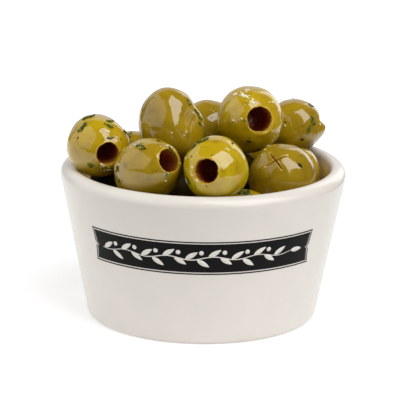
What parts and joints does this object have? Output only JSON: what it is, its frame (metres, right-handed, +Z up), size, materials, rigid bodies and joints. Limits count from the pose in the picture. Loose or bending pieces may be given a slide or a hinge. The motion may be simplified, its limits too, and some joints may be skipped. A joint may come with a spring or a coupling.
{
  "type": "bowl of olives",
  "caption": "Round tapered stoneware dip bowl heaped above its rim with pitted green olives in oil and chopped herbs, standing on its foot ring.",
  "frame": {"origin": "centre of the bowl's foot ring, on the surface that the bowl stands on", "axes": "+Z up along the bowl's axis; -Y towards the front of the heap, the side with the most pit holes; +X to the right seen from the front"},
  "size_m": [0.09, 0.09, 0.0742],
  "materials": {
    "bowl": "pale grey-white glazed stoneware, smooth and glossy",
    "olives": "yellow-green olive skin wet with oil, with dark pit holes and green herb flakes"
  },
  "bodies": {
    "root": {"bowl": "bowl", "olives": "olives"}
  },
  "joints": []
}
